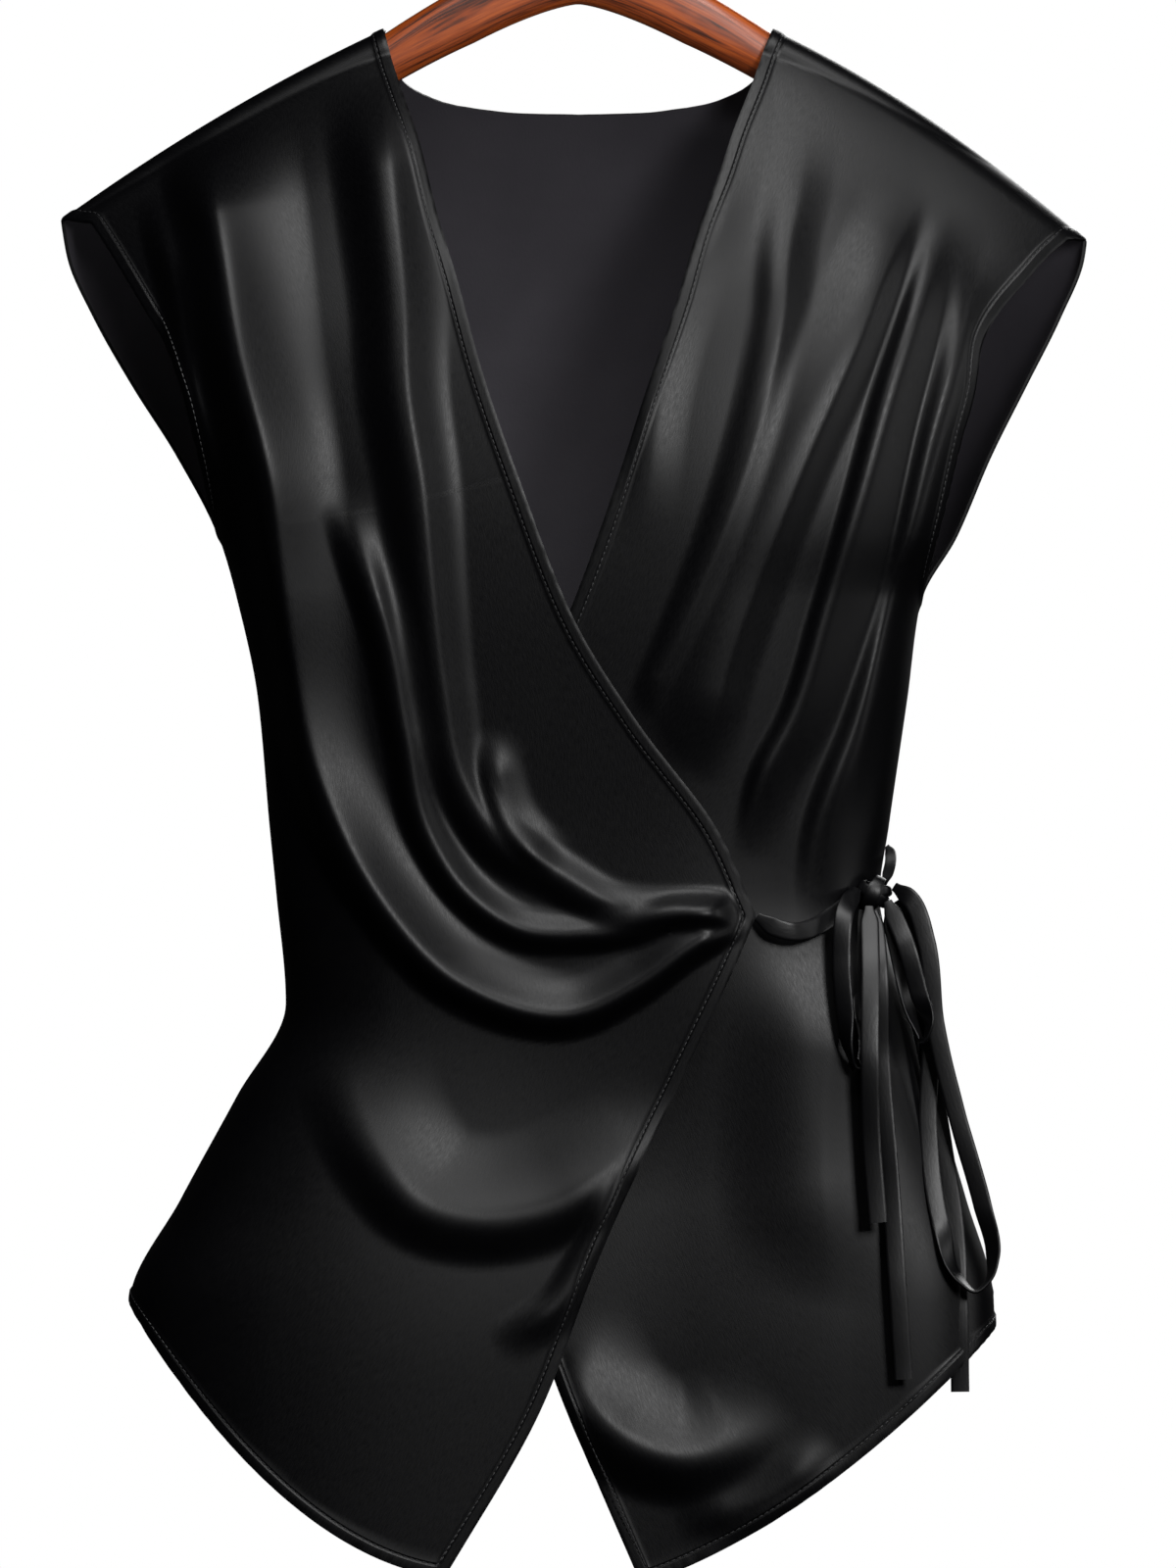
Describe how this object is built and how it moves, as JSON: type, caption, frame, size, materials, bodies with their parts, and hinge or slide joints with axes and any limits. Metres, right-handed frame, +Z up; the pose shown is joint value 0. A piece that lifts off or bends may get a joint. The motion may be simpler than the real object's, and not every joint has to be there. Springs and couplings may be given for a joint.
{
  "type": "sleeveless wrap blouse on a coat hanger",
  "caption": "Sleeveless satin wrap top with deep crossed V neck, draped front, side bow and pointed tulip hem, hanging open and hollow on a bent wooden coat hanger with a wire hook.",
  "frame": {"origin": "inner top of the hook, where a rail bears", "axes": "+X to the viewer's right along the hanger, +Z up, -Y towards the garment's front"},
  "size_m": [0.442, 0.1576, 0.7776],
  "materials": {
    "satin": "black satin with a soft sheen",
    "wood": "varnished brown",
    "steel": "bright plated wire"
  },
  "bodies": {
    "root": {"back": "satin", "front_over": "satin", "front_under": "satin", "tie_lead": "satin", "tie_loop_left": "satin", "tie_end_short": "satin", "tie_end_long": "satin", "tie_loop_big": "satin", "tie_loop_small": "satin", "tie_end_side": "satin", "tie_seam_stub": "satin", "tie_knot": "satin", "hanger_bar": "wood", "hanger_hook": "steel"}
  },
  "joints": []
}
